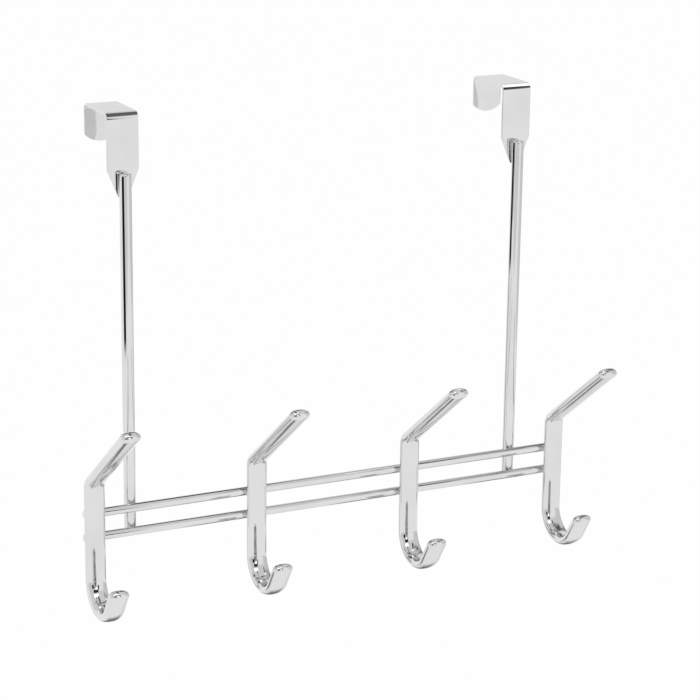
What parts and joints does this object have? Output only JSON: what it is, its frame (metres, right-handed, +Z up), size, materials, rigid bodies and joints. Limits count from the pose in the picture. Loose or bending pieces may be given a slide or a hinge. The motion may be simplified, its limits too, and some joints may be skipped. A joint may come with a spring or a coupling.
{
  "type": "over door hook rack",
  "caption": "Plated steel rack that hangs over a door's top edge on folded straps; rods carry horizontal rails with bent bar hooks, each with an upper arm and a lower cup.",
  "frame": {"origin": "the door's top front edge, midway between the straps", "axes": "+X along the rails to the right as seen from the front, +Y into the door, +Z up"},
  "size_m": [0.3184, 0.116, 0.2895],
  "materials": {
    "chrome": "bright plated"
  },
  "bodies": {
    "root": {"left_strap": "chrome", "right_strap": "chrome", "left_rod": "chrome", "right_rod": "chrome", "upper_rail": "chrome", "lower_rail": "chrome", "hook_1": "chrome", "hook_2": "chrome", "hook_3": "chrome", "hook_4": "chrome"}
  },
  "joints": []
}
